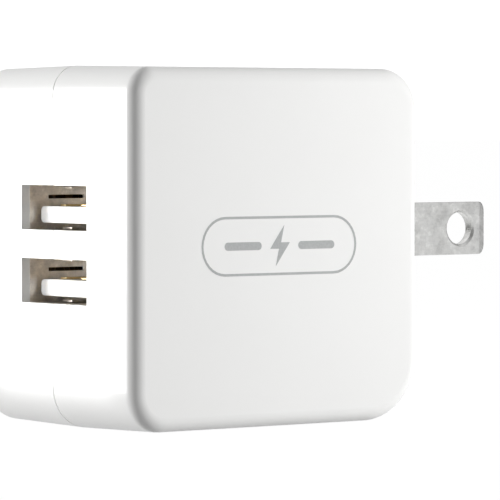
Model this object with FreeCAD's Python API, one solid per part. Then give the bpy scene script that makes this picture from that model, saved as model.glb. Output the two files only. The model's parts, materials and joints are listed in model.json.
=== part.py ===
import FreeCAD, Part

import math
import os

from FreeCAD import Vector

# A two-socket USB wall charger with a folding two-blade plug, in millimetres.
# The origin lies on the plug side, which meets the wall outlet, midway between the two blades.
# +X points into the outlet, +Z is up and +Y runs through the thickness, from the printed face to the back.

# Case
body_width = 41.0
body_height = 40.5
body_depth = 29.5
blade_rise = 1.44
wall = 1.8
draft = math.radians(1.0)
edge_round = 1.6
inner_round = 0.5
corner_socket_top = 3.3
corner_socket_bottom = 4.7
corner_plug_top = 4.9
corner_plug_bottom = 7.4
seam_width = 0.16
seam_depth = 0.12
seam_stop = 0.6
lip_height = 1.0
lip_inset = 1.05
lip_gap = 0.05
rib_thickness = 1.0
rib_offset = 4.2
post_radius = 1.1
post_places = (-36.0, -12.0)
post_heights = (-15.5, 15.0)

# Sockets
socket_pitch = 8.2
socket_rise = 0.32
socket_width = 12.5
socket_height = 5.12
mouth_height = 5.0
socket_metal = 0.3
socket_length = 12.6
case_lip = 1.2
tongue_setback = 2.3
tongue_width = 11.1
tongue_height = 1.84
tongue_lift = 0.8
insulator_base = 2.5
contact_width = 1.0
contact_thickness = 0.2
contact_places = (-3.5, -1.0, 1.0, 3.5)
contact_setbacks = (1.6, 2.6, 2.6, 1.6)
slit_start = 3.8
slit_end = 8.7
slit_height = 0.4
slit_drop = 1.25
finger_tip = 4.2
finger_root = 9.8
finger_width = 1.8
finger_gap = 0.3
finger_lean = 0.5
finger_places = (-3.2, 3.2)

# Plug
blade_spacing = 12.7
blade_width = 6.2
blade_thickness = 1.52
blade_reach = 16.7
blade_hole_radius = 1.9
blade_hole_place = 12.7
blade_hole_flare = 0.25
blade_bevel_length = 1.0
blade_bevel_depth = 0.4
blade_tip_corner = 1.2
pivot_depth = 3.9
drum_radius = 1.8
journal_radius = 1.5
journal_end = 9.6
running_gap = 0.06
drive_square = 2.2
fold_gap = 0.4
detent_half_width = 2.4
detent_half_height = 1.6
detent_leaf = 0.25
detent_clearance = 0.3
cradle_wall = 0.8
cradle_half_width = 10.4
cradle_low = -3.4
contact_leaf = 0.3
contact_leaf_gap = 0.08
contact_leaf_end = -11.2
contact_leaf_half_height = 2.2

# Boards and parts inside
board_thickness = 1.6
board_corner = 3.0
socket_board_thickness = 1.2
socket_board_low_y = -9.0
socket_board_margin = 6.2
main_board_front = 9.4
main_board_plug_end = -9.2
core_width = 13.0
core_depth = 6.0
core_height = 13.0
core_leg = 1.7
core_place = -24.8
core_lift = 1.6
core_front = 1.2
spool_wall = 0.5
coil_thickness = 1.8
tape_thickness = 0.3
flange_thickness = 0.6
choke_place = -22.0
choke_height = 7.0
choke_flange = 2.6
choke_flange_thickness = 1.0
choke_coil = 2.3
choke_core = 1.2
resistor_radius = 1.6
resistor_ends = (-20.0, -13.0)
resistor_height = 2.3
resistor_level = -6.4
opto_ends = (-18.2, -13.8)
spreader_ends = (-25.0, -10.0)
spreader_thickness = 0.5
lead_radius = 0.35
lead_turn = 0.8
mains_wire_radius = 0.7
mains_wire_place = -10.2
mains_wire_turn = 1.2
fit = 0.1

# Derived places
half_depth = body_depth / 2
x_socket = -body_width
z_mid = -blade_rise
z_low = z_mid - body_height / 2
z_high = z_mid + body_height / 2
inside = half_depth - wall
socket_back = x_socket + case_lip + socket_length
upper_socket = z_mid + socket_rise + socket_pitch / 2
lower_socket = z_mid + socket_rise - socket_pitch / 2
half_blade = blade_width / 2
half_square = drive_square / 2
blade_inner = blade_spacing / 2 - blade_thickness / 2
blade_outer = blade_spacing / 2 + blade_thickness / 2
slot_low = -(blade_reach + pivot_depth) - 0.5
slot_high = half_blade + fold_gap
cradle_front = -wall - fit
cradle_back = -8.2
pocket_back = -pivot_depth - half_blade - fold_gap
main_board_back = main_board_front + board_thickness
socket_board_back = socket_back + socket_board_thickness
core_x = (core_place, core_place + core_width)
core_y = (core_front, core_front + core_depth)
core_z = (z_mid + core_lift, z_mid + core_lift + core_height)
core_centre = (core_x[0] + core_x[1]) / 2
window_z = (core_z[0] + core_leg, core_z[1] - core_leg)
coil_z = (window_z[0] + flange_thickness, window_z[1] - flange_thickness)


def block(x, y, z):
    """A box between the low and high ends given for each axis."""
    corner = Vector(min(x), min(y), min(z))
    return Part.makeBox(abs(x[1] - x[0]), abs(y[1] - y[0]), abs(z[1] - z[0]), corner)


def rod(radius, start, end):
    """A round bar from one point to another."""
    along = Vector(*end) - Vector(*start)
    return Part.makeCylinder(radius, along.Length, Vector(*start), along)


def joined(shapes):
    """The union of several solids."""
    return shapes[0].multiFuse(shapes[1:]).removeSplitter()


def group(shapes):
    """Separate solids kept together as one node."""
    return Part.makeCompound(shapes)


def both_sides(low, high):
    """A stretch along Y and its mirror image."""
    return ((-high, -low), (low, high))


def save(name, shape):
    shape.exportStep("parts/" + name + ".step")


# Case shells


def corner_arc(x, y, z, radius, start):
    """A quarter circle about (x, z), in the plane at height y, from the start angle."""
    points = []
    for step in (0, 45, 90):
        angle = math.radians(start + step)
        points.append(Vector(x + radius * math.cos(angle), y, z + radius * math.sin(angle)))
    return Part.Arc(*points).toShape()


def case_outline(y, inset, taper):
    """The case's outline at one depth. The plug side has no draft, so it stays flat on the outlet."""
    left = x_socket + inset + taper
    right = -inset
    low = z_low + inset + taper
    high = z_high - inset - taper
    plug_top = corner_plug_top - inset - taper
    socket_top = corner_socket_top - inset - taper
    socket_bottom = corner_socket_bottom - inset - taper
    plug_bottom = corner_plug_bottom - inset - taper
    arcs = [
        corner_arc(right - plug_top, y, high - plug_top, plug_top, 0),
        corner_arc(left + socket_top, y, high - socket_top, socket_top, 90),
        corner_arc(left + socket_bottom, y, low + socket_bottom, socket_bottom, 180),
        corner_arc(right - plug_bottom, y, low + plug_bottom, plug_bottom, 270),
    ]
    edges = []
    for arc, following in zip(arcs, arcs[1:] + arcs[:1]):
        edges.append(arc)
        end = arc.valueAt(arc.LastParameter)
        start = following.valueAt(following.FirstParameter)
        edges.append(Part.LineSegment(end, start).toShape())
    return Part.Wire(edges)


def slab(inset, y_low, y_high):
    """A straight prism of the case's outline."""
    face = Part.Face(case_outline(y_low, inset, 0))
    return face.extrude(Vector(0, y_high - y_low, 0))


def half_form(side, inset, depth, rounding):
    """Half of the case's form, from mid-thickness out to one large face, with draft and a round edge."""
    taper = depth * math.tan(draft)
    wires = [case_outline(0, inset, 0), case_outline(side * depth, inset, taper)]
    form = Part.makeLoft(wires, True, True)
    rim = [edge for edge in form.Edges if abs(edge.CenterOfMass.y - side * depth) < 0.001]
    return form.makeFillet(rounding, rim)


def seam_groove():
    """The fine line where the shells meet. It stops short of the flat plug side."""
    ring = slab(-1, -seam_width / 2, seam_width / 2).cut(slab(seam_depth, -1, 1))
    return ring.common(block((x_socket - 2, -seam_stop), (-1, 1), (z_low - 2, z_high + 2)))


def socket_openings():
    """Each socket's mouth, and the pocket behind it that takes the metal shell."""
    cuts = []
    mouth_y = socket_width / 2
    pocket_y = mouth_y + socket_metal + fit
    mouth_z = mouth_height / 2
    pocket_z = socket_height / 2 + socket_metal + fit
    for z in (upper_socket, lower_socket):
        through = (x_socket - 1, x_socket + wall + 1)
        cuts.append(block(through, (-mouth_y, mouth_y), (z - mouth_z, z + mouth_z)))
        deep = (x_socket + case_lip, x_socket + wall + 1)
        cuts.append(block(deep, (-pocket_y, pocket_y), (z - pocket_z, z + pocket_z)))
    return cuts


def blade_slots():
    """The slots that the blades fold into. They run out through the lower corner, for a fingernail."""
    cuts = []
    for y in both_sides(blade_inner - fold_gap, blade_outer + fold_gap):
        cuts.append(block((pocket_back, 1), y, (slot_low, slot_high)))
    return cuts


def half_shell(side):
    """One hollow half of the case, before its ribs, slots and openings."""
    outer = half_form(side, 0, half_depth, edge_round)
    hollow = half_form(side, wall, inside, inner_round)
    return outer.cut(hollow)


def front_shell():
    """The half with the printed face. A lip stands inside the seam, and two ribs hold the socket board."""
    shell = half_shell(-1)
    lip = slab(lip_inset, 0, lip_height).cut(slab(wall - lip_gap, -1, 2))
    rib_x = (socket_back - 0.6, socket_board_back + 0.6)
    ribs = []
    for z in (upper_socket + rib_offset, lower_socket - rib_offset):
        rib_z = (z - rib_thickness / 2, z + rib_thickness / 2)
        ribs.append(block(rib_x, (-inside - 0.5, socket_board_low_y), rib_z))
    shell = joined([shell, lip] + ribs)
    return shell.cut(socket_openings() + blade_slots() + [seam_groove()])


def rear_shell():
    """The plain half. Four posts inside it carry the main board."""
    shell = half_shell(1)
    posts = []
    for x in post_places:
        for height in post_heights:
            z = z_mid + height
            posts.append(rod(post_radius, (x, inside + 0.5, z), (x, main_board_back, z)))
    shell = joined([shell] + posts)
    recess = slab(lip_inset - lip_gap, 0, lip_height + fit)
    return shell.cut(socket_openings() + blade_slots() + [seam_groove(), recess])


# Folding plug


def tip_wedge(face, inward):
    """What the bevel on one side of a blade takes off its tip."""
    start = blade_reach - blade_bevel_length
    end = blade_reach + 1
    slope = blade_bevel_depth / blade_bevel_length
    outline = (
        (start, face),
        (end, face + inward * slope * (end - start)),
        (end, face - inward),
        (start, face - inward),
    )
    points = [Vector(x, y, -half_blade - 1) for x, y in outline]
    return Part.Face(Part.makePolygon(points + points[:1])).extrude(Vector(0, 0, blade_width + 2))


def hole_flare(face, inward):
    """The countersink at one mouth of a blade's hole."""
    wide = blade_hole_radius + blade_hole_flare
    centre = Vector(blade_hole_place, face, 0)
    return Part.makeCone(wide, blade_hole_radius, blade_hole_flare, centre, Vector(0, inward, 0))


def blade(side):
    """A flat blade with a round root about the pivot, a bevelled tip and a countersunk hole."""
    y = sorted((side * blade_inner, side * blade_outer))
    plate = joined([
        block((-pivot_depth, blade_reach), y, (-half_blade, half_blade)),
        rod(half_blade, (-pivot_depth, y[0], 0), (-pivot_depth, y[1], 0)),
    ])
    corners = [edge for edge in plate.Edges
               if abs(edge.CenterOfMass.x - blade_reach) < 0.001 and edge.BoundBox.ZLength < 0.001]
    plate = plate.makeFillet(blade_tip_corner, corners)
    past = (y[0] - 1, y[1] + 1)
    hole = rod(blade_hole_radius, (blade_hole_place, past[0], 0), (blade_hole_place, past[1], 0))
    square_x = (-pivot_depth - half_square, -pivot_depth + half_square)
    drive = block(square_x, past, (-half_square, half_square))
    cuts = [hole, drive]
    for face, inward in ((y[0], 1), (y[1], -1)):
        cuts.append(tip_wedge(face, inward))
        cuts.append(hole_flare(face, inward))
    return plate.cut(cuts)


def plug_carrier():
    """The moulded axle: a drum with detent flats between the blades, squares in them, journals outside."""
    x = -pivot_depth
    drum = rod(drum_radius, (x, -blade_inner, 0), (x, blade_inner, 0))
    flat = drum_radius - 0.2
    bay_y = (-detent_half_width - fit, detent_half_width + fit)
    bay = block((x - 4, x + 4), bay_y, (-4, 4))
    square = block((x - flat, x + flat), bay_y, (-flat, flat))
    drum = drum.cut(bay.cut(square))
    pieces = [drum]
    for y in both_sides(blade_inner, blade_outer):
        pieces.append(block((x - half_square, x + half_square), y, (-half_square, half_square)))
    for y in both_sides(blade_outer, journal_end):
        pieces.append(rod(journal_radius, (x, y[0], 0), (x, y[1], 0)))
    return joined(pieces)


def saddle(radius, y):
    """A bearing cut for the axle, open towards the plug side so that the axle drops in."""
    x = -pivot_depth
    return joined([
        rod(radius, (x, y[0], 0), (x, y[1], 0)),
        block((x, 0), y, (-radius, radius)),
    ])


def plug_cradle():
    """The insert behind the plug side: bearings for the axle and a closed pocket for each blade."""
    depth = (cradle_back, cradle_front)
    top = slot_high + cradle_wall
    bearing = block(depth, (-cradle_half_width, cradle_half_width), (cradle_low, top))
    cavity = slab(wall + 0.3, -inside, inside)
    pocket_y = (blade_inner - 0.5, blade_outer + cradle_wall)
    pieces = [bearing]
    cuts = []
    for y in both_sides(pocket_y[0] - cradle_wall, pocket_y[1] + cradle_wall):
        pieces.append(block(depth, y, (z_low, top)).common(cavity))
    for y in both_sides(*pocket_y):
        cuts.append(block((pocket_back, 0), y, (z_low, slot_high)))
    for y in both_sides(detent_half_width + 0.4, blade_inner - 0.4):
        cuts.append(saddle(drum_radius + running_gap, y))
    for y in both_sides(blade_outer + 0.7, journal_end + 0.3):
        cuts.append(saddle(journal_radius + running_gap, y))
    spring_bay = detent_half_width + 0.5
    cuts.append(block((cradle_back + cradle_wall, 0), (-spring_bay, spring_bay), (-2.6, 2.6)))
    leaf_half = contact_leaf_half_height + 0.2
    for y in both_sides(blade_outer + 0.03, blade_outer + 0.43):
        cuts.append(block((cradle_back - 1, pocket_back + 1), y, (-leaf_half, leaf_half)))
    return joined(pieces).cut(cuts)


def detent_spring():
    """A bowed leaf behind the drum, which clicks on its flats."""
    x = -pivot_depth - drum_radius - detent_clearance
    y = (-detent_half_width, detent_half_width)
    leaf = block((x - detent_leaf, x), y, (-detent_half_height, detent_half_height))
    feet = []
    for z in (-detent_half_height, detent_half_height):
        feet.append(block((cradle_back + cradle_wall, x), y, (z - detent_leaf / 2, z + detent_leaf / 2)))
    return joined([leaf] + feet)


def spring_contact(side):
    """A leaf that bears on the blade's root and leads back through the cradle to a solder tab."""
    inner = blade_outer + contact_leaf_gap
    y = sorted((side * inner, side * (inner + contact_leaf)))
    front = -pivot_depth - journal_radius - 0.35
    leaf = block((contact_leaf_end, front), y, (-contact_leaf_half_height, contact_leaf_half_height))
    solder_x = contact_leaf_end + 0.9
    solder_z = 1.0 - contact_leaf_half_height
    return leaf.cut(rod(0.5, (solder_x, y[0] - 1, solder_z), (solder_x, y[1] + 1, solder_z)))


# Sockets


def finger(y, z, lean):
    """A sprung finger that leans into the socket from its top or bottom wall."""
    root = x_socket + finger_root
    tip = x_socket + finger_tip
    thickness = socket_metal * 0.7
    outline = ((root, z), (tip, z - lean), (tip, z - lean + thickness), (root, z + thickness))
    points = [Vector(x, y - finger_width / 2, height) for x, height in outline]
    return Part.Face(Part.makePolygon(points + points[:1])).extrude(Vector(0, finger_width, 0))


def usb_shell(z):
    """The folded metal shell, with a slit along each side and a pair of sprung fingers above and below."""
    front = x_socket + case_lip
    half_w = socket_width / 2
    half_h = socket_height / 2
    outer_w = half_w + socket_metal
    outer_h = half_h + socket_metal
    shell = block((front, socket_back), (-outer_w, outer_w), (z - outer_h, z + outer_h))
    cuts = [block((front - 1, socket_back + 1), (-half_w, half_w), (z - half_h, z + half_h))]
    slit_x = (x_socket + slit_start, x_socket + slit_end)
    slit_top = z + half_h - slit_drop
    cuts.append(block(slit_x, (-half_w - 1, half_w + 1), (slit_top - slit_height, slit_top)))
    gap_x = (x_socket + finger_tip - finger_gap, x_socket + finger_root)
    gap_half = finger_width / 2 + finger_gap
    fingers = []
    for y in finger_places:
        cuts.append(block(gap_x, (y - gap_half, y + gap_half), (z - half_h - 1, z + half_h + 1)))
        fingers.append(finger(y, z + half_h, finger_lean))
        fingers.append(finger(y, z - half_h - socket_metal * 0.7, 0.2 - finger_lean))
    return joined([shell.cut(cuts)] + fingers)


def contact_strips(z):
    """Four flat contacts along the top of the tongue, through the insulator and the board behind it."""
    bottom = z - socket_height / 2 + tongue_lift + tongue_height
    strips = []
    for place, setback in zip(contact_places, contact_setbacks):
        x = (x_socket + tongue_setback + setback, socket_board_back + 0.6)
        y = (place - contact_width / 2, place + contact_width / 2)
        strips.append(block(x, y, (bottom, bottom + contact_thickness)))
    return strips


def usb_tongue(z):
    """The insulator: a base that fills the back of the metal shell and a tongue with round edges."""
    base_front = socket_back - insulator_base
    bottom = z - socket_height / 2 + tongue_lift
    tongue = block((x_socket + tongue_setback, base_front), (-tongue_width / 2, tongue_width / 2),
                   (bottom, bottom + tongue_height))
    long_edges = [edge for edge in tongue.Edges if edge.BoundBox.XLength > 1]
    tongue = tongue.makeFillet(0.55, long_edges)
    base = block((base_front, socket_back), (-socket_width / 2, socket_width / 2),
                 (z - socket_height / 2, z + socket_height / 2))
    return joined([tongue, base]).cut(contact_strips(z))


# Boards and what stands on them


def usb_board():
    """The upright board that the sockets are soldered to. It plugs into the main board."""
    height = (lower_socket - socket_board_margin, upper_socket + socket_board_margin)
    board = block((socket_back, socket_board_back), (socket_board_low_y, main_board_front), height)
    return board.cut(contact_strips(upper_socket) + contact_strips(lower_socket))


def main_board():
    """The board along the back of the case."""
    length = (x_socket + wall + 0.3, main_board_plug_end)
    board = block(length, (main_board_front, main_board_back), (z_mid - 17.5, z_mid + 17.0))
    corners = [edge for edge in board.Edges if edge.BoundBox.YLength > 1]
    return board.makeFillet(board_corner, corners)


def can(radius, height, x, z):
    """A can capacitor that stands on the main board, with a rolled groove near its base."""
    base = main_board_front
    top = base - height
    body = rod(radius, (x, base, z), (x, top, z))
    ring = rod(radius + 1, (x, base - 2.4, z), (x, base - 1.8, z))
    body = body.cut(ring.cut(rod(radius - 0.35, (x, base - 3, z), (x, base - 1, z))))
    rim = [edge for edge in body.Edges if abs(edge.CenterOfMass.y - top) < 0.001]
    return body.makeFillet(0.5, rim)


def disc(radius, thickness, x, z):
    """A radial disc part that stands on edge on the main board, with two legs into it."""
    centre = main_board_front - radius - 1.2
    pieces = [rod(radius, (x - thickness / 2, centre, z), (x + thickness / 2, centre, z))]
    for leg_z in (z - radius / 2, z + radius / 2):
        pieces.append(rod(lead_radius, (x, centre, leg_z), (x, main_board_front, leg_z)))
    return joined(pieces)


def chip(x, z, width, height, thickness, pins):
    """A flat package on the back of the main board, with short legs along two sides."""
    base = main_board_back
    body_x = (x - width / 2, x + width / 2)
    pieces = [block(body_x, (base + 0.1, base + thickness), (z - height / 2, z + height / 2))]
    leg_x = (body_x[0] - 0.8, body_x[1] + 0.8)
    pitch = height / pins
    for row in range(pins):
        leg_z = z - height / 2 + pitch * (row + 0.5)
        pieces.append(block(leg_x, (base, base + 0.35), (leg_z - pitch * 0.2, leg_z + pitch * 0.2)))
    return joined(pieces)


def transformer_core():
    """A ferrite frame with a middle leg."""
    core = block(core_x, core_y, core_z)
    sides = (
        (core_x[0] + core_leg, core_centre - core_leg),
        (core_centre + core_leg, core_x[1] - core_leg),
    )
    windows = [block(x, (core_y[0] - 1, core_y[1] + 1), window_z) for x in sides]
    return core.cut(windows)


def round_leg(grow_x, grow_y, z):
    """A block around the core's middle leg, larger than the leg by the given amounts."""
    half = core_leg + grow_x
    return block((core_centre - half, core_centre + half), (core_y[0] - grow_y, core_y[1] + grow_y), z)


def transformer_bobbin():
    """A spool on the middle leg, with two flanges and rails that stand on the main board."""
    pieces = [
        round_leg(spool_wall, spool_wall, window_z),
        round_leg(2.9, 2.2, (window_z[0], coil_z[0])),
        round_leg(2.9, 2.2, (coil_z[1], window_z[1])),
        block((core_centre - 1.5, core_centre + 1.5), (core_y[1] + 0.1, core_y[1] + 2.2), core_z),
    ]
    rail_x = (core_x[0] + 2, core_x[1] - 2)
    for low in (core_z[0] - 0.2, core_z[1] - 1.4):
        pieces.append(block(rail_x, (core_y[1], main_board_front), (low, low + 1.6)))
    return joined(pieces).cut([transformer_core(), round_leg(0, 0, window_z)])


def wrap(inner_x, inner_y, thickness, thickness_y):
    """One layer around the spool, between the flanges."""
    layer = round_leg(inner_x + thickness, inner_y + thickness_y, coil_z)
    return layer.cut([round_leg(inner_x, inner_y, coil_z), transformer_bobbin()])


def transformer_winding():
    """The wire wound on the spool, a little thinner across the core than along it."""
    return wrap(spool_wall, spool_wall, coil_thickness, coil_thickness - 0.7)


def transformer_tape():
    """The tape around the winding."""
    coil_x = spool_wall + coil_thickness
    return wrap(coil_x, coil_x - 0.7, tape_thickness, tape_thickness)


def bent_wire(radius, corners, turn):
    """A round wire along straight runs in one plane, with a rounded bend at each inner corner."""
    points = [Vector(*corner) for corner in corners]
    edges = []
    start = points[0]
    for corner, following in zip(points[1:-1], points[2:]):
        back = (start - corner).normalize() * turn
        ahead = (following - corner).normalize() * turn
        middle = corner + (back + ahead) * (1 - math.sqrt(0.5))
        edges.append(Part.LineSegment(start, corner + back).toShape())
        edges.append(Part.Arc(corner + back, middle, corner + ahead).toShape())
        start = corner + ahead
    edges.append(Part.LineSegment(start, points[-1]).toShape())
    profile = Part.Wire(Part.makeCircle(radius, points[0], points[1] - points[0]))
    return Part.Wire(edges).makePipeShell([profile], True, False)


def fuse_resistor():
    """A round resistor that lies along the main board on bent legs."""
    y = main_board_front - resistor_height
    z = z_mid + resistor_level
    lead_x = (resistor_ends[0] - 1.4, resistor_ends[1] + 1.4)
    body = rod(resistor_radius, (resistor_ends[0], y, z), (resistor_ends[1], y, z))
    corners = (
        (lead_x[0], main_board_front, z),
        (lead_x[0], y, z),
        (lead_x[1], y, z),
        (lead_x[1], main_board_front, z),
    )
    return joined([body, bent_wire(lead_radius, corners, lead_turn)])


def choke_ring(outer, inner, low, high):
    """A ring about the choke's axis, between two heights above the main board. No bore if inner is 0."""
    start, end = [(choke_place, main_board_front - height, z_mid - 2.0) for height in (low, high)]
    ring = rod(outer, start, end)
    return ring.cut(rod(inner, start, end)) if inner else ring


def mains_choke():
    """A drum core that stands on the main board."""
    flange = choke_flange_thickness
    return joined([
        choke_ring(choke_flange, 0, 0, flange),
        choke_ring(choke_core, 0, flange, choke_height - flange),
        choke_ring(choke_flange, 0, choke_height - flange, choke_height),
    ])


def choke_winding():
    """The wire wound between the drum core's flanges."""
    flange = choke_flange_thickness
    return choke_ring(choke_coil, choke_core, flange, choke_height - flange)


def opto_isolator():
    """A four-legged package that stands on the main board."""
    z = z_mid - 1.5
    base = main_board_front
    pieces = [block(opto_ends, (base - 3.4, base - 0.4), (z - 2.2, z + 2.2))]
    for leg_x in (opto_ends[0] - 0.3, opto_ends[1]):
        for leg_z in (z - 1.27, z + 1.27):
            pieces.append(block((leg_x, leg_x + 0.3), (base - 2.0, base), (leg_z - 0.25, leg_z + 0.25)))
    return joined(pieces)


def heat_spreader():
    """A thin aluminium plate inside the printed face, with a fold along its lower edge."""
    front = 0.35 - inside
    low = z_mid - 15.0
    plate = block(spreader_ends, (front, front + spreader_thickness), (low, z_mid + 14.0))
    fold = block(spreader_ends, (front, front + 3.5), (low, low + spreader_thickness))
    return joined([plate, fold])


def insulation_sheet():
    """A thin sheet between the socket board and the transformer."""
    x = (socket_board_back + 0.75, socket_board_back + 1.0)
    return block(x, (socket_board_low_y, main_board_front - 0.1), (z_mid - 10.5, z_mid + 16.0))


def mains_wire(side):
    """An insulated lead from a spring contact to the main board. The front one crosses the case."""
    x = mains_wire_place
    y = side * (blade_outer + 0.4 + mains_wire_radius)
    if side > 0:
        corners = ((x, y, -1.5), (x, main_board_front, -1.5))
    else:
        corners = ((x, y, 1.0), (x, y, -7.0), (x, main_board_front, -7.0))
    return bent_wire(mains_wire_radius, corners, mains_wire_turn)


os.makedirs("parts", exist_ok=True)

save("front_shell", front_shell())
save("rear_shell", rear_shell())

save("blade_front", blade(-1))
save("blade_rear", blade(1))
save("plug_carrier", plug_carrier())
save("plug_cradle", plug_cradle())
save("detent_spring", detent_spring())
save("spring_contact_front", spring_contact(-1))
save("spring_contact_rear", spring_contact(1))

for place, height in (("upper", upper_socket), ("lower", lower_socket)):
    save("usb_shell_" + place, usb_shell(height))
    save("usb_tongue_" + place, usb_tongue(height))
    save("usb_contacts_" + place, group(contact_strips(height)))

save("usb_board", usb_board())
save("main_board", main_board())
save("bulk_capacitor_inner", can(3.9, 16.0, -20.9, z_mid - 12.2))
save("bulk_capacitor_outer", can(3.9, 16.0, -12.9, z_mid - 12.2))
save("output_capacitor_upper", can(4.0, 12.0, -34.4, z_mid + 12.6))
save("output_capacitor_lower", can(4.0, 12.0, -34.4, z_mid - 12.8))
save("safety_capacitor", disc(3.0, 2.8, -27.6, z_mid + 14.0))
save("varistor", disc(3.2, 3.0, -28.2, z_mid - 13.9))
save("controller_chip", chip(-17.0, z_mid + 8.0, 3.9, 4.9, 1.45, 4))
save("bridge_rectifier", chip(-17.0, z_mid - 12.0, 4.0, 4.7, 1.45, 2))
save("output_rectifier", chip(-29.0, z_mid, 4.2, 5.0, 1.4, 3))
save("transformer_core", transformer_core())
save("transformer_bobbin", transformer_bobbin())
save("transformer_winding", transformer_winding())
save("transformer_tape", transformer_tape())
save("fuse_resistor", fuse_resistor())
save("mains_choke", mains_choke())
save("choke_winding", choke_winding())
save("opto_isolator", opto_isolator())
save("heat_spreader", heat_spreader())
save("insulation_sheet", insulation_sheet())
save("mains_wire_front", mains_wire(-1))
save("mains_wire_rear", mains_wire(1))
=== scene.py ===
import bpy
import json
import math
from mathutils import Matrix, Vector


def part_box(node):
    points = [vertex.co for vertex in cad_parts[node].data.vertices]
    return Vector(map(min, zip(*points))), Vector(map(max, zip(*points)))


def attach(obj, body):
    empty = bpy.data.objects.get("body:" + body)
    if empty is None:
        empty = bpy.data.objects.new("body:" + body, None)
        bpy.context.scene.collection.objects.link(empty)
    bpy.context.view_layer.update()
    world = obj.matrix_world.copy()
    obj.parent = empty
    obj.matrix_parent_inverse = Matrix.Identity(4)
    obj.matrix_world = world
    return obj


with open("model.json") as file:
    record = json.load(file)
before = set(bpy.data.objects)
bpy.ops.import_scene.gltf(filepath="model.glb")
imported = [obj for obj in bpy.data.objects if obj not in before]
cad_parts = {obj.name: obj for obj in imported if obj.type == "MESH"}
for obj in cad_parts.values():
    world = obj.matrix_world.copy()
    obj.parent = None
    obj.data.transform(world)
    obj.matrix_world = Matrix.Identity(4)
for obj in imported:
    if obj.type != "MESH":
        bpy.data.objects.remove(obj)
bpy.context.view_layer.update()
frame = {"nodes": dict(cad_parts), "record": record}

MM = 0.001


# ---------------------------------------------------------------- places taken from the frame

front_low, front_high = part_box("front_shell")
rear_low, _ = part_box("rear_shell")
PRINTED_FACE_Y = front_low.y
FLOOR_Z = min(front_low.z, rear_low.z)
BODY_CENTRE = Vector(((front_low.x + front_high.x) / 2, 0.0, (front_low.z + front_high.z) / 2))

VIEW_AZIMUTH = math.radians(37.99)
VIEW_DROP = math.radians(1.8)
VIEW = Vector((
    math.sin(VIEW_AZIMUTH) * math.cos(VIEW_DROP),
    math.cos(VIEW_AZIMUTH) * math.cos(VIEW_DROP),
    -math.sin(VIEW_DROP),
))
CAMERA_DISTANCE = 462 * MM
CAMERA_LENS = 291.2
CAMERA_AIM = BODY_CENTRE + Vector((4.39, -3.7, -0.66)) * MM


# ---------------------------------------------------------------- node helpers

# The places of the two colours among a colour Mix node's inputs, and of the blend among its outputs.
MIX_FIRST, MIX_SECOND, MIX_RESULT = 6, 7, 2


class Shader:
    """A Principled material, with short calls for the nodes that vary it."""

    def __init__(self, name, colour, roughness, metallic=0.0):
        self.material = bpy.data.materials.new(name)
        self.material.use_nodes = True
        self.nodes = self.material.node_tree.nodes
        self.links = self.material.node_tree.links
        self.bsdf = self.nodes["Principled BSDF"]
        self.bsdf.inputs["Base Color"].default_value = (*colour, 1.0)
        self.bsdf.inputs["Roughness"].default_value = roughness
        self.bsdf.inputs["Metallic"].default_value = metallic
        self.colour = colour
        self.roughness = roughness
        self.place = self.nodes.new("ShaderNodeTexCoord").outputs["Object"]
        self.normal = None

    def soften_edges(self, radius):
        """Makes sharp edges catch the light as if they had a small round of the given radius in metres."""
        node = self.nodes.new("ShaderNodeBevel")
        node.samples = 8
        node.inputs["Radius"].default_value = radius
        self.normal = node.outputs["Normal"]
        self.links.new(self.normal, self.bsdf.inputs["Normal"])
        return self

    def stretched(self, scale):
        """Object coordinates, stretched by a factor on each axis."""
        mapping = self.nodes.new("ShaderNodeMapping")
        mapping.inputs["Scale"].default_value = scale
        self.links.new(self.place, mapping.inputs["Vector"])
        return mapping.outputs["Vector"]

    def noise(self, size, detail=2.0, stretch=None, rough=0.5):
        """Noise whose features are about the given size in metres."""
        texture = self.nodes.new("ShaderNodeTexNoise")
        texture.inputs["Scale"].default_value = 1.0 / size
        texture.inputs["Detail"].default_value = detail
        texture.inputs["Roughness"].default_value = rough
        self.links.new(self.stretched(stretch) if stretch else self.place, texture.inputs["Vector"])
        return texture.outputs["Fac"]

    def spread(self, value, low, high, start=0.3, end=0.7):
        """The value, mapped from start..end to low..high and held inside them."""
        node = self.nodes.new("ShaderNodeMapRange")
        node.inputs["From Min"].default_value = start
        node.inputs["From Max"].default_value = end
        node.inputs["To Min"].default_value = low
        node.inputs["To Max"].default_value = high
        self.links.new(value, node.inputs["Value"])
        return node.outputs["Result"]

    def math(self, operation, a, b):
        node = self.nodes.new("ShaderNodeMath")
        node.operation = operation
        for socket, value in zip(node.inputs, (a, b)):
            if isinstance(value, (int, float)):
                socket.default_value = value
            else:
                self.links.new(value, socket)
        return node.outputs["Value"]

    def tint(self, factor, other):
        """Blends the base colour towards another by a factor that varies over the surface."""
        node = self.nodes.new("ShaderNodeMix")
        node.data_type = "RGBA"
        base = self.bsdf.inputs["Base Color"]
        if base.is_linked:
            self.links.new(base.links[0].from_socket, node.inputs[MIX_FIRST])
        else:
            node.inputs[MIX_FIRST].default_value = base.default_value
        node.inputs[MIX_SECOND].default_value = (*other, 1.0)
        self.links.new(factor, node.inputs["Factor"])
        self.links.new(node.outputs[MIX_RESULT], base)
        return self

    def vary_roughness(self, value):
        self.links.new(value, self.bsdf.inputs["Roughness"])
        return self

    def bump(self, height, depth, strength=1.0):
        """Adds a bump of the given depth in metres on top of any before it."""
        node = self.nodes.new("ShaderNodeBump")
        node.inputs["Distance"].default_value = depth
        node.inputs["Strength"].default_value = strength
        self.links.new(height, node.inputs["Height"])
        if self.normal is not None:
            self.links.new(self.normal, node.inputs["Normal"])
        self.normal = node.outputs["Normal"]
        self.links.new(self.normal, self.bsdf.inputs["Normal"])
        return self


# ---------------------------------------------------------------- materials


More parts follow.
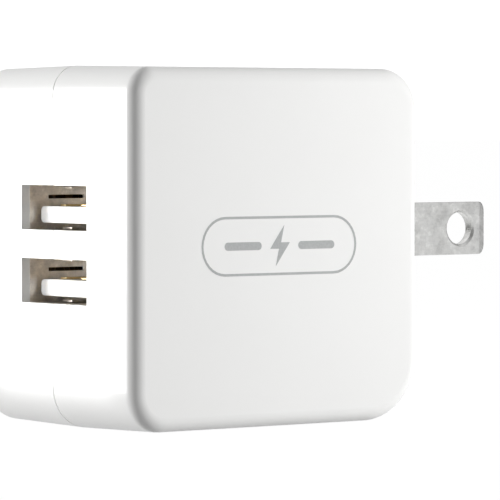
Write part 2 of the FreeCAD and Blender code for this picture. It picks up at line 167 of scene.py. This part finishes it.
def moulded_plastic(name, colour, roughness, grain=0.3 * MM, depth=0.0012 * MM, scuffs=0.05):
    """Moulded plastic: a fine skin texture, slow colour drift and, where asked for, faint hairline scuffs."""
    shader = Shader(name, colour, roughness)
    drift = shader.spread(shader.noise(12 * MM, 2.0), 0.0, 0.5)
    shader.tint(drift, tuple(c * 0.975 for c in colour))
    base = shader.spread(shader.noise(4.0 * MM, 4.0), roughness - 0.015, roughness + 0.02)
    hairlines = shader.noise(0.5 * MM, 5.0, (0.12, 1.0, 1.6), 0.6)
    shader.vary_roughness(shader.math("ADD", base, shader.spread(hairlines, 0.0, scuffs, 0.6, 0.75)))
    shader.bump(shader.noise(grain, 2.0), depth)
    return shader.material


def translucent_plastic(name, colour, roughness, depth):
    """White moulding that lets light bleed through it to the given depth in metres."""
    material = moulded_plastic(name, colour, roughness)
    bsdf = material.node_tree.nodes["Principled BSDF"]
    bsdf.inputs["Subsurface Weight"].default_value = 0.7
    bsdf.inputs["Subsurface Radius"].default_value = (1.0, 0.95, 0.85)
    bsdf.inputs["Subsurface Scale"].default_value = depth
    return material


def rolled_metal(name, colour, roughness, along, mottle=0.12, depth=0.004 * MM):
    """Plated sheet metal: rolling streaks along one axis, handling marks across them, and mottled patches."""
    shader = Shader(name, colour, roughness, metallic=1.0)
    shader.soften_edges(0.12 * MM)
    patches = shader.noise(1.1 * MM, 5.0, None, 0.62)
    dull = tuple(c * (1 - mottle * 2.2) for c in colour)
    bright = tuple(min(1.0, c * (1 + mottle * 2.2)) for c in colour)
    shader.tint(shader.spread(patches, 0.0, 0.9, 0.5, 0.34), dull)
    shader.tint(shader.spread(patches, 0.0, 0.9, 0.54, 0.66), bright)
    across = tuple(0.08 if axis == along else 1.0 for axis in "xyz")
    streaks = shader.noise(0.1 * MM, 3.0, across, 0.6)
    shader.tint(shader.spread(streaks, 0.0, 0.3), bright)
    marks = shader.spread(shader.noise(0.35 * MM, 4.0, (0.35, 1.0, 1.3), 0.7), 0.0, mottle, 0.56, 0.7)
    worn = shader.math("ADD", marks, shader.spread(streaks, roughness - 0.04, roughness + 0.06))
    shader.vary_roughness(worn)
    shader.bump(streaks, depth)
    shader.bump(patches, depth * mottle * 70)
    return shader.material


def circuit_board(name, colour):
    """Pressed board with a faint weave, and copper tracks that show as paler lines under the lacquer."""
    shader = Shader(name, colour, 0.4)
    weave = shader.noise(0.7 * MM, 1.0, (1.0, 1.0, 3.0))
    shader.tint(shader.spread(weave, 0.0, 0.5), tuple(c * 0.75 for c in colour))
    tracks = shader.noise(3.2 * MM, 0.0, (1.0, 1.0, 0.6))
    band = shader.math("PINGPONG", tracks, 0.06)
    shader.tint(shader.spread(band, 0.75, 0.0, 0.008, 0.014), tuple(min(1.0, c * 1.9 + 0.02) for c in colour))
    shader.vary_roughness(shader.spread(weave, 0.26, 0.4))
    shader.bump(band, 0.02 * MM, 0.6)
    return shader.material


def shrink_sleeve(name, colour):
    """Tight plastic sleeve with a slow sheen change and tiny wrinkles along the can."""
    shader = Shader(name, colour, 0.3)
    wrinkle = shader.noise(0.8 * MM, 3.0, (1.0, 0.15, 1.0))
    shader.tint(shader.spread(wrinkle, 0.0, 0.5), tuple(c * 1.6 + 0.01 for c in colour))
    shader.vary_roughness(shader.spread(wrinkle, 0.22, 0.42))
    shader.bump(wrinkle, 0.02 * MM)
    return shader.material


def fired(name, colour, roughness, pits=0.4 * MM):
    """Ferrite, ceramic or dipped coating: fine pits, darker hollows and an uneven gloss."""
    shader = Shader(name, colour, roughness)
    grain = shader.noise(pits, 4.0, None, 0.65)
    shader.tint(shader.spread(grain, 0.0, 0.6), tuple(c * 0.6 for c in colour))
    shader.vary_roughness(shader.spread(grain, roughness - 0.1, roughness + 0.12))
    shader.bump(grain, 0.03 * MM)
    return shader.material


def wound_wire(name, colour, pitch=0.35 * MM):
    """Enamelled wire laid side by side: round turns as bands up the coil, with painted shade darkening the
    grooves between the turns.
    """
    shader = Shader(name, colour, 0.25, metallic=0.9)
    separate = shader.nodes.new("ShaderNodeSeparateXYZ")
    shader.links.new(shader.place, separate.inputs["Vector"])
    turn = shader.math("SINE", shader.math("MULTIPLY", separate.outputs["Z"], 2 * math.pi / pitch), 0.0)
    # painted shade: the colour darkens where the turn profile is low, in the grooves between neighbouring
    # turns
    shader.tint(shader.spread(turn, 0.7, 0.0, -1.0, 0.2), tuple(c * 0.35 for c in colour))
    shader.vary_roughness(shader.spread(shader.noise(1.0 * MM, 2.0), 0.2, 0.4))
    shader.bump(turn, 0.12 * MM)
    return shader.material


def film(name, colour, roughness=0.28):
    """Adhesive tape or thin insulating sheet with faint creases."""
    shader = Shader(name, colour, roughness)
    crease = shader.noise(2.2 * MM, 5.0, (1.0, 1.0, 0.3), 0.6)
    shader.tint(shader.spread(crease, 0.0, 0.45), tuple(c * 0.78 for c in colour))
    shader.vary_roughness(shader.spread(crease, roughness - 0.06, roughness + 0.14))
    shader.bump(crease, 0.05 * MM)
    return shader.material


def rubbery(name, colour):
    """Flexible wire insulation: matt, with a fine extruded skin."""
    shader = Shader(name, colour, 0.5)
    skin = shader.noise(0.25 * MM, 3.0, (1.0, 0.3, 1.0))
    shader.tint(shader.spread(skin, 0.0, 0.5), tuple(c * 1.5 + 0.01 for c in colour))
    shader.vary_roughness(shader.spread(skin, 0.42, 0.6))
    shader.bump(skin, 0.015 * MM)
    return shader.material


def slot_materials():
    """One material for each of the record's slots, in the record's colours."""
    colour = {entry["slot"]: tuple(entry["base_color"][:3]) for entry in frame["record"]["materials"]}
    return {
        "case_plastic": moulded_plastic("case_plastic", colour["case_plastic"], 0.3, scuffs=0.0),
        "cradle_plastic": moulded_plastic("cradle_plastic", colour["cradle_plastic"], 0.45),
        "carrier_plastic": moulded_plastic("carrier_plastic", colour["carrier_plastic"], 0.4),
        "tongue_plastic": translucent_plastic("tongue_plastic", colour["tongue_plastic"], 0.42, 1.4 * MM),
        "bobbin_plastic": moulded_plastic("bobbin_plastic", colour["bobbin_plastic"], 0.5),
        "chip_black": moulded_plastic("chip_black", colour["chip_black"], 0.55, 0.12 * MM, 0.008 * MM),
        "blade_metal": rolled_metal("blade_metal", colour["blade_metal"], 0.34, "x"),
        "socket_metal": rolled_metal("socket_metal", colour["socket_metal"], 0.36, "x", 0.12, 0.002 * MM),
        "spring_metal": rolled_metal("spring_metal", colour["spring_metal"], 0.3, "x"),
        "contact_metal": rolled_metal("contact_metal", colour["contact_metal"], 0.3, "x", 0.06),
        "spreader_metal": rolled_metal("spreader_metal", colour["spreader_metal"], 0.38, "z"),
        "board": circuit_board("board", colour["board"]),
        "capacitor_sleeve": shrink_sleeve("capacitor_sleeve", colour["capacitor_sleeve"]),
        "ferrite": fired("ferrite", colour["ferrite"], 0.6),
        "disc_blue": fired("disc_blue", colour["disc_blue"], 0.3, 0.9 * MM),
        "resistor_body": fired("resistor_body", colour["resistor_body"], 0.45),
        "winding_wire": wound_wire("winding_wire", colour["winding_wire"]),
        "tape": film("tape", colour["tape"]),
        "sheet_paper": film("sheet_paper", colour["sheet_paper"], 0.6),
        "wire_insulation": rubbery("wire_insulation", colour["wire_insulation"]),
    }


def paint_nodes(materials):
    for part in frame["record"]["subparts"]:
        piece = frame["nodes"][part["node"]]
        piece.data.materials.clear()
        piece.data.materials.append(materials[part["material_slot"]])


paint_nodes(slot_materials())


# ---------------------------------------------------------------- printed mark


def pill(half_width, half_height, steps=16):
    """The outline of a pill shape about the origin, in X and Z."""
    straight = half_width - half_height
    points = []
    for side in (1, -1):
        for i in range(steps + 1):
            angle = math.pi * (i / steps - side / 2)
            points.append((side * straight + half_height * math.cos(angle), half_height * math.sin(angle)))
    return points


def flat_print(name, loops, centre):
    """A thin layer of ink on the printed face, from outer and inner outlines in X and Z, in millimetres."""
    curve = bpy.data.curves.new(name, "CURVE")
    curve.dimensions = "2D"
    curve.fill_mode = "BOTH"
    for loop in loops:
        spline = curve.splines.new("POLY")
        spline.points.add(len(loop) - 1)
        for point, (x, z) in zip(spline.points, loop):
            point.co = (x * MM, z * MM, 0, 1)
        spline.use_cyclic_u = True
    carrier = bpy.data.objects.new(name + "_outline", curve)
    mesh = bpy.data.meshes.new_from_object(carrier)
    mesh.name = name
    bpy.data.objects.remove(carrier)
    ink = bpy.data.objects.new(name, mesh)
    bpy.context.collection.objects.link(ink)
    for vertex in mesh.vertices:
        x, z, _ = vertex.co
        vertex.co = (centre.x + x, centre.y, centre.z + z)
    return ink


INK_LIFT = 0.012 * MM


def add_face_mark():
    """A generic printed mark: a lightning bolt between two dashes, inside a thin pill outline."""
    centre = Vector((BODY_CENTRE.x, PRINTED_FACE_Y - INK_LIFT, BODY_CENTRE.z + 0.2 * MM))
    half_width, half_height, line = 11.0, 3.3, 0.28
    dash_place, dash_half_width, dash_half_height = 5.2, 2.6, 0.45
    bolt = [(0.6, 2.3), (-1.4, -0.35), (-0.15, -0.35), (-0.6, -2.3), (1.4, 0.35), (0.15, 0.35)]
    loops = [pill(half_width, half_height), pill(half_width - line, half_height - line), bolt]
    for middle in (-dash_place, dash_place):
        loops.append([(middle + x, z) for x, z in pill(dash_half_width, dash_half_height)])
    mark = flat_print("face_mark", loops, centre)
    shader = Shader("mark_ink", (0.40, 0.41, 0.41), 0.4)
    speckle = shader.noise(0.15 * MM, 2.0)
    shader.tint(shader.spread(speckle, 0.0, 0.5), (0.55, 0.56, 0.56))
    shader.vary_roughness(shader.spread(shader.noise(0.8 * MM, 3.0), 0.32, 0.48))
    shader.bump(speckle, 0.003 * MM)
    mark.data.materials.append(shader.material)
    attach(mark, "case")


add_face_mark()


# ---------------------------------------------------------------- floor, light and camera


def add_floor():
    """A plain pale floor, bright enough that the soft shadows on it stay light."""
    half = 6.0
    corners = [(-half, -half, FLOOR_Z), (half, -half, FLOOR_Z), (half, half, FLOOR_Z), (-half, half, FLOOR_Z)]
    mesh = bpy.data.meshes.new("floor")
    mesh.from_pydata(corners, [], [(0, 1, 2, 3)])
    floor = bpy.data.objects.new("floor", mesh)
    bpy.context.collection.objects.link(floor)
    shader = Shader("floor_paint", (0.1, 0.1, 0.1), 0.8)
    shader.vary_roughness(shader.spread(shader.noise(20 * MM, 3.0), 0.75, 0.9))
    shader.bsdf.inputs["Specular IOR Level"].default_value = 0.0
    shader.bsdf.inputs["Emission Color"].default_value = (1.0, 1.0, 1.0, 1.0)
    shader.bsdf.inputs["Emission Strength"].default_value = 0.96
    mesh.materials.append(shader.material)
    floor.visible_diffuse = False


def towards(heading, height):
    """A direction from a compass heading (0 is -Y, 90 is +X) and a height, both in degrees."""
    h, e = math.radians(heading), math.radians(height)
    return Vector((math.sin(h) * math.cos(e), -math.cos(h) * math.cos(e), math.sin(e)))


def add_sun(name, heading, height, strength, softness):
    """A wide, soft, distant light."""
    light = bpy.data.lights.new(name, "SUN")
    light.energy = strength
    light.angle = math.radians(softness)
    sun = bpy.data.objects.new(name, light)
    bpy.context.collection.objects.link(sun)
    sun.rotation_euler = towards(heading, height).to_track_quat("Z", "Y").to_euler()


def add_softbox(name, heading, height, distance, size, power):
    """A square panel near the object, so its light falls off across the printed face."""
    light = bpy.data.lights.new(name, "AREA")
    light.shape = "SQUARE"
    light.size = size
    light.energy = power
    panel = bpy.data.objects.new(name, light)
    panel.visible_glossy = False
    bpy.context.collection.objects.link(panel)
    panel.location = BODY_CENTRE + towards(heading, height) * distance
    panel.rotation_euler = towards(heading, height).to_track_quat("Z", "Y").to_euler()


def add_socket_light(distance, width, height, spread, power):
    """A hooded lamp square on to the side with the sockets, to light the white parts inside them."""
    light = bpy.data.lights.new("socket_light", "AREA")
    light.shape = "RECTANGLE"
    light.size = width
    light.size_y = height
    light.spread = math.radians(spread)
    light.energy = power
    lamp = bpy.data.objects.new("socket_light", light)
    lamp.visible_camera = False
    bpy.context.collection.objects.link(lamp)
    lamp.location = (front_low.x - distance, 0.0, BODY_CENTRE.z)
    lamp.rotation_euler = towards(-90, 0).to_track_quat("Z", "Y").to_euler()


def add_world(fill, seen, dark, bright):
    """Even fill light and a white background. Reflections are darker behind the camera and towards +X."""
    world = bpy.data.worlds.new("studio")
    world.use_nodes = True
    nodes = world.node_tree.nodes
    links = world.node_tree.links

    def background(strength):
        node = nodes.new("ShaderNodeBackground")
        node.inputs["Color"].default_value = (1, 1, 1, 1)
        node.inputs["Strength"].default_value = strength
        return node

    def mixed(factor, first, second):
        node = nodes.new("ShaderNodeMixShader")
        links.new(factor, node.inputs["Fac"])
        links.new(first.outputs[0], node.inputs[1])
        links.new(second.outputs[0], node.inputs[2])
        return node

    def map_range(value, start, end, low, high):
        node = nodes.new("ShaderNodeMapRange")
        node.inputs["From Min"].default_value = start
        node.inputs["From Max"].default_value = end
        node.inputs["To Min"].default_value = low
        node.inputs["To Max"].default_value = high
        links.new(value, node.inputs["Value"])
        return node.outputs["Result"]

    behind = nodes.new("ShaderNodeVectorMath")
    behind.operation = "DOT_PRODUCT"
    place = nodes.new("ShaderNodeTexCoord").outputs["Generated"]
    links.new(place, behind.inputs[0])
    behind.inputs[1].default_value = -VIEW
    split = nodes.new("ShaderNodeSeparateXYZ")
    links.new(place, split.inputs["Vector"])
    both = nodes.new("ShaderNodeMath")
    both.operation = "MULTIPLY"
    links.new(map_range(behind.outputs["Value"], -0.1, 0.9, bright, dark), both.inputs[0])
    links.new(map_range(split.outputs["X"], 0.72, 0.92, 1.0, 0.0), both.inputs[1])
    reflected = background(bright)
    links.new(both.outputs["Value"], reflected.inputs["Strength"])
    path = nodes.new("ShaderNodeLightPath")
    lit = mixed(path.outputs["Is Glossy Ray"], background(fill), reflected)
    final = mixed(path.outputs["Is Camera Ray"], lit, background(seen))
    links.new(final.outputs[0], nodes["World Output"].inputs["Surface"])
    bpy.context.scene.world = world


def add_camera():
    """A long lens, slightly above the middle, that looks at the corner between sockets and printed face."""
    data = bpy.data.cameras.new("camera")
    data.lens = CAMERA_LENS
    data.sensor_width = 36.0
    data.clip_start = 0.01
    camera = bpy.data.objects.new("camera", data)
    bpy.context.collection.objects.link(camera)
    camera.location = CAMERA_AIM - VIEW * CAMERA_DISTANCE
    camera.rotation_euler = VIEW.to_track_quat("-Z", "Y").to_euler()
    bpy.context.scene.camera = camera


add_floor()
add_sun("left_light", heading=-135, height=3, strength=4.2, softness=20)
add_softbox("right_light", heading=45, height=5, distance=0.33, size=0.12, power=1.09)
add_socket_light(distance=40 * MM, width=21 * MM, height=32 * MM, spread=8, power=0.0011)
add_world(fill=0.28, seen=1.2, dark=0.2, bright=1.1)
add_camera()
bpy.context.scene.view_settings.view_transform = "Standard"
